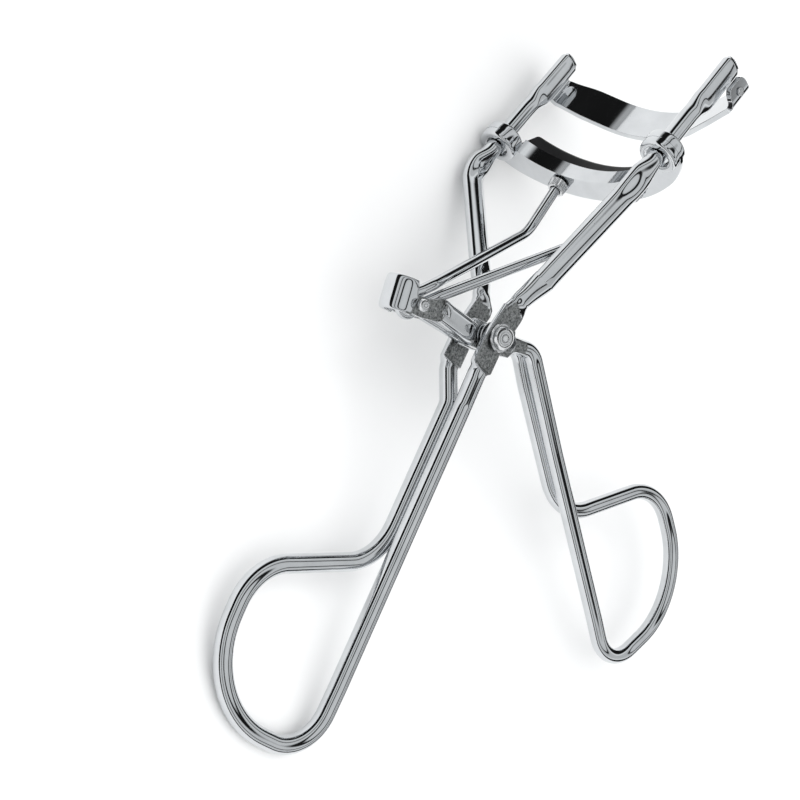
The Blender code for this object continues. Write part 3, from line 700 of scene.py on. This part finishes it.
def build_lever_wire():
    place = handle_frame(LEVER_HANDLE_FROM, LEVER_HANDLE_DEG, 1.0)
    on_arm, offset = arm_frame()
    pivot = math.hypot(LINK_FORWARD, LINK_UP)
    wire = round_section(LEVER_WIRE_R)
    ear = (LEVER_EAR_HALF, LEVER_EAR_HALF_WIDTH, 0.8)
    arm = (ARM_HALF, ARM_HALF_HEIGHT, 0.35)
    strap = (CHEEK_HALF, STRAP_HALF_WIDTH, 0.75)
    cheek = (CHEEK_HALF, CHEEK_HALF_WIDTH, 0.7)
    right_half = [
        (on_arm(-1.1, STRAP_OFFSET, CHEEK_ACROSS), 0.0, strap),
        (on_arm(-0.6, CHEEK_OFFSET, CHEEK_ACROSS), 0.0, cheek),
        (on_arm(1.3, CHEEK_OFFSET, CHEEK_ACROSS), 0.0, cheek),
        (on_arm(4.1, 0.45, CHEEK_ACROSS), 0.0, (CHEEK_HALF, 1.5, 0.7)),
        (on_arm(4.4, 0.5, CHEEK_ACROSS), 0.0, arm),
        (on_arm(pivot - 3.1, -0.4, 1.05), 0.0, arm),
        (on_arm(pivot - 2.7, -0.3, LEVER_EAR_ACROSS), 0.0, ear),
        (on_arm(pivot, -0.3, LEVER_EAR_ACROSS), 0.0, ear),
        (on_arm(pivot + 5.0, 0.2, LEVER_EAR_ACROSS), 0.0, ear),
        (on_arm(pivot + 5.5, 0.25, LEVER_STEM_ACROSS), 0.0, wire),
        (on_arm(pivot + 9.5, 0.5, LEVER_STEM_ACROSS), 3.2 * MM, wire),
    ]
    u_bend = []
    for index in range(37):
        angle = math.pi * index / 36
        distance = -CHEEK_OVERHANG - CHEEK_ACROSS * math.sin(angle)
        u_bend.append((on_arm(distance, STRAP_OFFSET, CHEEK_ACROSS * math.cos(angle)), 0.0, strap))
    loop = loop_knots(place, LEVER_STEM_ACROSS, LEVER_LOOP, 13.5, LEVER_WIRE_R)
    # The wire is one endless ring, which starts and ends in the middle of the right stem.
    foot = (place(24.0, 0.0, LEVER_STEM_ACROSS), 0.0, wire)
    knots = [foot] + list(reversed(right_half)) + u_bend + mirrored(right_half) + loop[:-1] + [foot]
    tall = Vector((offset.x, offset.y, 0.0))
    stations = refined(filleted(knots), RUN_STEP, CHANGE_STEP)
    builder = sweep(stations, tall_hint=tall, endless=True)
    for face in builder.faces:
        face.normal_update()
        middle = face.calc_center_median() / MM
        flat = middle.xy
        facing = abs(face.normal.z)
        on_ear = flat.length < LEVER_COINED_REACH and flat.x > -0.5 and facing > FLAT_FACING
        from_link = flat - Vector((LINK_FORWARD, LINK_UP))
        by_link = from_link.length < CHEEK_COINED_REACH and from_link.x > -0.6
        on_cheek = by_link and abs(middle.z) > CHEEK_ACROSS - 0.3 and facing > 0.5
        face.material_index = 1 if on_ear or on_cheek else 0
    make_piece("lever_wire_fine", builder, [CHROME, COINED], "lever", ["lever_wire"])


# --- Pivot and link hardware -------------------------------------------------------------


def build_pivot_hardware():
    left_head = dome(RIVET_HEAD_R, -RIVET_HEAD_INNER, RIVET_HEAD_HEIGHT, -1.0)
    right_head = dome(RIVET_HEAD_R, RIVET_HEAD_INNER, RIVET_HEAD_HEIGHT, 1.0)
    shaft = [(-RIVET_HEAD_INNER, RIVET_R), (RIVET_HEAD_INNER, RIVET_R)]
    profile = list(reversed(left_head)) + shaft + right_head
    rivet = lathe_across(profile, 0.0, 0.0)
    make_piece("pivot_rivet_fine", rivet, [HARDWARE], "frame", ["pivot_rivet"])
    for side, sign in (("left", -1.0), ("right", 1.0)):
        washer = ring_across(RIVET_HOLE_R, WASHER_R, sign * WASHER_INNER, sign * WASHER_OUTER)
        make_piece(f"pivot_washer_{side}_fine", washer, [HARDWARE], "frame",
                   [f"pivot_washer_{side}"])
        shim = ring_across(RIVET_HOLE_R, WASHER_R - 0.1, sign * SHIM_INNER, sign * SHIM_OUTER)
        make_piece(f"pivot_shim_{side}_fine", shim, [HARDWARE], "frame",
                   [f"pivot_shim_{side}"])


def build_link_pin():
    """A pin with a low upset head on its far end and a ball on its near end."""
    ball_r = 0.82
    ball_at = CHEEK_ACROSS + CHEEK_HALF + 0.65
    profile = [(-2.75, 0.25), (-2.72, 0.5), (-2.62, 0.72), (-2.45, 0.8), (-2.25, 0.78),
               (-2.25, LINK_PIN_R)]
    for index in range(19):
        angle = math.radians(mix(144.0, 4.0, index / 18.0))
        profile.append((ball_at + ball_r * math.cos(angle), ball_r * math.sin(angle)))
    pin = lathe_across(profile, LINK_FORWARD, LINK_UP, 40)
    make_piece("link_pin_fine", pin, [HARDWARE], "lever", ["link_pin"])


# --- Push rod ----------------------------------------------------------------------------


def build_push_rod():
    link = Vector((LINK_FORWARD, LINK_UP))
    rise = Vector((ROD_BEND[1] - LINK_FORWARD, ROD_BEND[2] - LINK_UP)).normalized()
    offset = Vector((rise.y, -rise.x))

    def near_link(distance, sideways, across):
        flat = link + rise * distance + offset * sideways
        return at(across, flat.x, flat.y)

    rod = round_section(ROD_R)

    def leg(sign):
        return [
            (at(sign * ROD_TOP[0], ROD_TOP[1], ROD_TOP[2]), 0.0, rod),
            (at(sign * ROD_BEND[0], ROD_BEND[1], ROD_BEND[2]), 7.0 * MM, rod),
            (near_link(4.9, sign * LEG_OFFSET, sign * 0.12), 4.0 * MM, rod),
            (near_link(2.7, sign * LEG_OFFSET, 0.0), 1.2 * MM, rod),
        ]

    eye = []
    for index in range(41):
        angle = math.radians(mix(-48.0, 228.0, index / 40.0))
        eye.append((near_link(-EYE_R * math.sin(angle), -EYE_R * math.cos(angle), 0.0), 0.0, rod))
    knots = leg(-1.0) + eye + list(reversed(leg(1.0)))
    builder = sweep(refined(filleted(knots), 1.0, 1.0), sides=28)
    make_piece("push_rod_fine", builder, [CHROME], "jaw", ["push_rod"])


def build_rod_collars():
    """Crimped collars where the rods meet the jaw, with the flutes of the crimping tool."""
    top = Vector(ROD_TOP)
    bend = Vector(ROD_BEND)
    sides = 112
    # Steps of (height, radius, share of the full flute depth)
    steps = (
        (COLLAR_LOW, 0.86, 0.0),
        (COLLAR_LOW, 1.12, 0.0),
        (COLLAR_LOW + 0.12, 1.25, 0.4),
        (COLLAR_LOW + 0.35, 1.36, 1.0),
        (COLLAR_HIGH - 0.3, 1.4, 1.0),
        (COLLAR_HIGH - 0.1, 1.45, 0.3),
        (COLLAR_HIGH, 1.3, 0.0),
        (COLLAR_HIGH, 0.86, 0.0),
    )
    for side, sign in (("left", -1.0), ("right", 1.0)):
        axis = Vector((sign * (top.x - bend.x), top.y - bend.y, top.z - bend.z)).normalized()
        builder = bmesh.new()
        loops = []
        for up, radius, flute in steps:
            reach = (up - top.z) / axis.z
            loop = []
            for index in range(sides):
                angle = math.tau * index / sides
                wave = 0.5 + 0.5 * math.cos(COLLAR_FLUTES * angle)
                out = radius - COLLAR_FLUTE_DEPTH * flute * wave
                across = sign * top.x + axis.x * reach + out * math.cos(angle)
                forward = top.y + axis.y * reach + out * math.sin(angle)
                loop.append(builder.verts.new(at(across, forward, up)))
            loops.append(loop)
        bridge(builder, loops + loops[:1], sides)
        make_piece(f"rod_collar_{side}_fine", builder, [HARDWARE], "jaw",
                   [f"rod_collar_{side}"])


# --- Lower jaw and pad ---------------------------------------------------------------------


def arc_forward(crown, radius, across):
    """How far forward a jaw line of this crown and radius is at a distance across."""
    return crown - radius + math.sqrt(radius * radius - across * across)


def extruded(outline, low, high):
    """A prism over an outline of (across, forward) points, between two heights."""
    builder = bmesh.new()
    bottom = [builder.verts.new(at(across, forward, low)) for across, forward in outline]
    top = [builder.verts.new(at(across, forward, high)) for across, forward in outline]
    bridge(builder, [bottom, top], len(outline))
    builder.faces.new(list(reversed(bottom)))
    builder.faces.new(top)
    return builder


def floor_outline():
    """The jaw's floor: a crescent between the jaw lines, rounded off outside each rail."""
    rail_forward = RAIL_FORWARD + RING_OFFSET
    outline = []
    steps = 80
    for index in range(steps + 1):
        across = mix(-JAW_WALL_END, JAW_WALL_END, index / steps)
        outline.append((across, arc_forward(JAW_INNER_CROWN, JAW_INNER_R, across)))
    right_end = []
    for index in range(1, 30):
        angle = math.radians(mix(-135.0, 24.0, index / 29.0))
        right_end.append((RAIL_ACROSS + RING_R * math.cos(angle), rail_forward + RING_R * math.sin(angle)))
    start = Vector(right_end[-1])
    end = Vector((JAW_OUTER_END, arc_forward(JAW_OUTER_CROWN, JAW_OUTER_R, JAW_OUTER_END)))
    pull = Vector(JAW_CORNER_PULL)
    for index in range(1, 12):
        ratio = index / 12.0
        spot = start * (1.0 - ratio) ** 2 + pull * 2.0 * ratio * (1.0 - ratio) + end * ratio ** 2
        right_end.append((spot.x, spot.y))
    outline += right_end
    for index in range(steps + 1):
        across = mix(JAW_OUTER_END, -JAW_OUTER_END, index / steps)
        outline.append((across, arc_forward(JAW_OUTER_CROWN, JAW_OUTER_R, across)))
    outline += [(-across, forward) for across, forward in reversed(right_end)]
    return outline


def disc_outline(radius, across, forward, sides=56):
    outline = []
    for index in range(sides):
        angle = math.tau * index / sides
        outline.append((across + radius * math.cos(angle), forward + radius * math.sin(angle)))
    return outline


def combine(piece, steps):
    """Apply Booleans, given as (operation, builder), to a piece and keep only the result."""
    tools = []
    for index, (operation, builder) in enumerate(steps):
        tool = laid_down(f"tool_{index}", builder)
        modifier = piece.modifiers.new(f"step_{index}", "BOOLEAN")
        modifier.operation = operation
        modifier.object = tool
        modifier.solver = "EXACT"
        tools.append(tool)
    bpy.context.view_layer.update()
    evaluated = piece.evaluated_get(bpy.context.evaluated_depsgraph_get())
    result = bpy.data.meshes.new_from_object(evaluated)
    piece.modifiers.clear()
    piece.data = result
    for tool in tools:
        bpy.data.objects.remove(tool, do_unlink=True)


def round_edges(piece, width_mm, angle_deg=SMOOTH_ANGLE_DEG):
    """A small bevel on every real edge, shaded so that the flats stay flat."""
    shade(piece.data, angle_deg)
    bevel = piece.modifiers.new("edge_rounding", "BEVEL")
    bevel.width = width_mm * MM
    bevel.segments = 3
    bevel.limit_method = "ANGLE"
    bevel.angle_limit = math.radians(angle_deg)
    bevel.use_clamp_overlap = True
    bevel.harden_normals = True


def wall_outline():
    """The jaw's upright inner wall, which follows the floor's inner line."""
    steps = 80
    end = JAW_WALL_END - 0.2
    inner = []
    outer = []
    for index in range(steps + 1):
        across = mix(-end, end, index / steps)
        inner.append((across, arc_forward(JAW_INNER_CROWN, JAW_INNER_R, across) + 0.01))
        outer.append((across, arc_forward(JAW_INNER_CROWN + JAW_WALL_THICKNESS, JAW_INNER_R, across)))
    return inner + list(reversed(outer))


def rounded_ring(sign, outer, low, high, from_deg, to_deg):
    """All or part of a ring round a rail, its rims rounded between a low and a high level.

    Its inside is a little too narrow, and the bore cuts it to size.
    """
    rail_forward = RAIL_FORWARD + RING_OFFSET
    inner = RING_BORE_R - (RING_R - outer) - 0.1
    rounding = RING_ROUNDING
    corners = (
        (outer - rounding, high - rounding, 0.0),
        (inner + rounding, high - rounding, 90.0),
        (inner + rounding, low + rounding, 180.0),
        (outer - rounding, low + rounding, 270.0),
    )
    profile = []
    for radius, up, start_deg in corners:
        for index in range(7):
            angle = math.radians(start_deg + 15.0 * index)
            profile.append((radius + rounding * math.cos(angle), up + rounding * math.sin(angle)))
    builder = bmesh.new()
    rings = []
    steps = 72
    endless = to_deg - from_deg >= 360.0
    for index in range(steps if endless else steps + 1):
        angle = math.radians(mix(from_deg, to_deg, index / steps))
        ring = []
        for radius, up in profile:
            across = sign * (RAIL_ACROSS + radius * math.cos(angle))
            ring.append(builder.verts.new(at(across, rail_forward + radius * math.sin(angle), up)))
        rings.append(ring)
    bridge(builder, rings + rings[:1] if endless else rings, len(profile))
    if not endless:
        builder.faces.new(list(reversed(rings[0])))
        builder.faces.new(rings[-1])
    return builder


def build_lower_jaw():
    rail_forward = RAIL_FORWARD + RING_OFFSET
    floor = extruded(floor_outline(), JAW_FLOOR, JAW_FLOOR + JAW_THICKNESS)
    jaw = make_piece("lower_jaw_fine", floor, [CHROME], "jaw", ["lower_jaw"])
    steps = [("UNION", extruded(wall_outline(), JAW_FLOOR + 0.2, JAW_WALL_TOP))]
    for sign in (-1.0, 1.0):
        ring = rounded_ring(sign, RING_R - RING_INSET, RING_LOW + 0.05, RING_HIGH, 0.0, 360.0)
        steps.append(("UNION", ring))
        lip = rounded_ring(sign, RING_R - RING_LIP_INSET, RING_LOW, RING_LIP_HIGH,
                           RING_LIP_FROM_DEG, RING_LIP_TO_DEG)
        steps.append(("UNION", lip))
    for sign in (-1.0, 1.0):
        bore = disc_outline(RING_BORE_R, sign * RAIL_ACROSS, rail_forward)
        steps.append(("DIFFERENCE", extruded(bore, RING_LOW - 2.0, RING_HIGH + 2.0)))
    combine(jaw, steps)
    round_edges(jaw, 0.28)


def pad_profile():
    """Pad section as (share of the way from inner to outer face, height), corners rounded."""
    # Each corner is ((share, height), radius).
    corners = [((0.0, PAD_LOW), 0.15), ((0.0, PAD_HIGH), 0.75),
               ((1.0, PAD_HIGH), 0.85), ((1.0, PAD_LOW), 0.3)]
    depth = PAD_OUTER_CROWN - PAD_INNER_CROWN
    flat = [Vector((share * depth, up)) for (share, up), _ in corners]
    profile = []
    for index, corner in enumerate(flat):
        radius = corners[index][1]
        before = (flat[index - 1] - corner).normalized()
        after = (flat[(index + 1) % 4] - corner).normalized()
        for step in range(7):
            angle = math.pi / 2.0 * step / 6.0
            back = before * radius * (1.0 - math.sin(angle))
            onward = after * radius * (1.0 - math.cos(angle))
            spot = corner + back + onward
            profile.append((spot.x / depth, spot.y))
    return profile


def build_pad():
    """The rubber pad: one rounded section along the jaw, its ends cut back towards the top."""
    profile = pad_profile()
    builder = bmesh.new()
    stations = 96
    rings = []
    for index in range(stations + 1):
        share = mix(-1.0, 1.0, index / stations)
        ring = []
        for ratio, up in profile:
            height = (up - PAD_LOW) / (PAD_HIGH - PAD_LOW)
            across = share * mix(PAD_END, PAD_TOP_END, height)
            inner = arc_forward(PAD_INNER_CROWN, JAW_INNER_R, across)
            outer = arc_forward(PAD_OUTER_CROWN, JAW_INNER_R + PAD_OUTER_R_EXTRA, across)
            ring.append(builder.verts.new(at(across, mix(inner, outer, ratio), up)))
        rings.append(ring)
    bridge(builder, rings, len(profile))
    builder.faces.new(reversed(rings[0]))
    builder.faces.new(rings[-1])
    pad = make_piece("curling_pad_fine", builder, [RUBBER], "jaw", ["curling_pad"])
    round_edges(pad, 0.12, 60.0)


# --- Upper plate ---------------------------------------------------------------------------


def plate_line():
    """Middle line of the plate, right half, as (across, forward, lowest, highest)."""
    line = []
    steps = 40
    for index in range(steps + 1):
        across = PLATE_ARC_END * index / steps
        line.append((across, arc_forward(PLATE_CROWN, PLATE_R, across), PLATE_LOW, PLATE_HIGH))
    start = math.radians(CURL_FROM_DEG)
    turned = (CURL_ACROSS + CURL_R * math.cos(start), CURL_FORWARD + CURL_R * math.sin(start))
    before = line[-1]
    for index in range(1, 17):
        ratio = index / 16
        low = mix(PLATE_LOW, CURL_LOW - 0.4, smooth_step(0.4, 1.0, ratio))
        high = mix(PLATE_HIGH, CURL_HIGH + 0.3, smooth_step(0.4, 1.0, ratio))
        line.append((mix(before[0], turned[0], ratio), mix(before[1], turned[1], ratio), low, high))
    for index in range(1, 25):
        angle = start * (1.0 - index / 24)
        low = mix(CURL_LOW - 0.4, CURL_LOW, index / 24)
        high = mix(CURL_HIGH + 0.3, CURL_HIGH, index / 24)
        across = CURL_ACROSS + CURL_R * math.cos(angle)
        line.append((across, CURL_FORWARD + CURL_R * math.sin(angle), low, high))
    for index in range(1, 21):
        ratio = index / 20
        cut = CURL_END_CUT * (1.0 - math.sqrt(1.0 - 0.96 * ratio * ratio))
        forward = mix(CURL_FORWARD, CURL_BACK, ratio)
        line.append((CURL_ACROSS + CURL_R, forward, CURL_LOW + cut, CURL_HIGH - cut))
    return line


def build_upper_plate():
    right = plate_line()
    line = [(-across, forward, low, high) for across, forward, low, high in reversed(right[1:])] + right
    builder = bmesh.new()
    rings = []
    for index, (across, forward, low, high) in enumerate(line):
        ahead = line[min(index + 1, len(line) - 1)]
        behind = line[max(index - 1, 0)]
        tangent = Vector((ahead[0] - behind[0], ahead[1] - behind[1])).normalized()
        normal = Vector((-tangent.y, tangent.x)) * PLATE_THICKNESS / 2.0
        rings.append([
            builder.verts.new(at(across - normal.x, forward - normal.y, low)),
            builder.verts.new(at(across + normal.x, forward + normal.y, low)),
            builder.verts.new(at(across + normal.x, forward + normal.y, high)),
            builder.verts.new(at(across - normal.x, forward - normal.y, high)),
        ])
    bridge(builder, rings, 4)
    builder.faces.new(reversed(rings[0]))
    builder.faces.new(rings[-1])
    plate = make_piece("upper_plate_fine", builder, [CHROME], "frame", ["upper_plate"])
    round_edges(plate, 0.18)


def build_plate_stakes():
    outside = CURL_ACROSS + CURL_R + PLATE_THICKNESS / 2.0 + 0.15
    tip = RAIL_ACROSS + PADDLE_HALF + 0.3
    for side, sign in (("left", -1.0), ("right", 1.0)):
        profile = [
            (tip, STAKE_R * 0.8),
            (tip + 0.15, STAKE_R),
            (outside, STAKE_R),
            (outside, STAKE_HEAD_R),
            (outside + 0.07, STAKE_HEAD_R * 0.95),
            (outside + 0.13, STAKE_HEAD_R * 0.8),
            (outside + 0.18, STAKE_HEAD_R * 0.45),
            (outside + 0.18, STAKE_HEAD_R * 0.1),
        ]
        profile = [(sign * across, radius) for across, radius in profile]
        stake = lathe_across(profile, STAKE_FORWARD, STAKE_UP, 36)
        make_piece(f"plate_stake_{side}_fine", stake, [HARDWARE], "frame",
                   [f"plate_stake_{side}"])


# --- Floor, light and camera -----------------------------------------------------------------


def design_direction(across, forward, up):
    return (LYING.to_3x3() @ Vector((forward, up, across))).normalized()


def build_floor():
    bpy.ops.mesh.primitive_plane_add(size=6.0, location=(0.0, 0.0, 0.0))
    floor = bpy.context.object
    floor.name = "floor"
    floor.data.materials.append(floor_material())


def build_light():
    light = bpy.data.lights.new("top_fill", "AREA")
    light.shape = "RECTANGLE"
    light.size = LIGHT_SIDE
    light.size_y = LIGHT_SIDE
    light.energy = LIGHT_POWER
    holder = bpy.data.objects.new("top_fill", light)
    bpy.context.collection.objects.link(holder)
    holder.location = LIGHT_AT
    holder.rotation_euler = (-Vector(LIGHT_AT)).to_track_quat("-Z", "Y").to_euler()
    holder.visible_glossy = False


def build_world():
    """A studio for the chrome to mirror: light, with dark bands square to the pivot axis."""
    world = bpy.data.worlds.new("studio")
    bpy.context.scene.world = world
    world.use_nodes = True
    tree = world.node_tree
    background = tree.nodes["Background"]
    place = tree.nodes.new("ShaderNodeTexCoord")
    along = tree.nodes.new("ShaderNodeVectorMath")
    along.operation = "DOT_PRODUCT"
    tree.links.new(place.outputs["Generated"], along.inputs[0])
    along.inputs[1].default_value = design_direction(*BAND_AXIS)
    spread = tree.nodes.new("ShaderNodeMapRange")
    spread.inputs["From Min"].default_value = -1.0
    spread.inputs["From Max"].default_value = 1.0
    tree.links.new(along.outputs["Value"], spread.inputs["Value"])
    ramp = tree.nodes.new("ShaderNodeValToRGB")
    tree.links.new(spread.outputs["Result"], ramp.inputs["Fac"])
    fill_ramp(ramp, [(position, (grey * 0.97, grey * 0.99, grey, 1.0)) for position, grey in BANDS])
    tree.links.new(ramp.outputs["Color"], background.inputs["Color"])
    background.inputs["Strength"].default_value = 1.0


def build_camera():
    camera = bpy.data.cameras.new("camera")
    camera.lens = CAMERA_LENS
    camera.sensor_width = SENSOR_WIDTH
    camera.clip_start = 0.01
    holder = bpy.data.objects.new("camera", camera)
    bpy.context.collection.objects.link(holder)
    right = design_direction(*CAMERA_RIGHT)
    up = design_direction(*CAMERA_UP)
    up = (up - right * up.dot(right)).normalized()
    back = right.cross(up)
    turn = Matrix((right, up, back)).transposed().to_4x4()
    holder.matrix_world = Matrix.Translation(LYING @ at(*CAMERA_AT)) @ turn
    bpy.context.scene.camera = holder


build_frame_wire()
build_lever_wire()
build_pivot_hardware()
build_link_pin()
build_push_rod()
build_rod_collars()
build_lower_jaw()
build_pad()
build_upper_plate()
build_plate_stakes()
build_floor()
build_world()
build_light()
build_camera()
bpy.context.scene.view_settings.view_transform = "Standard"
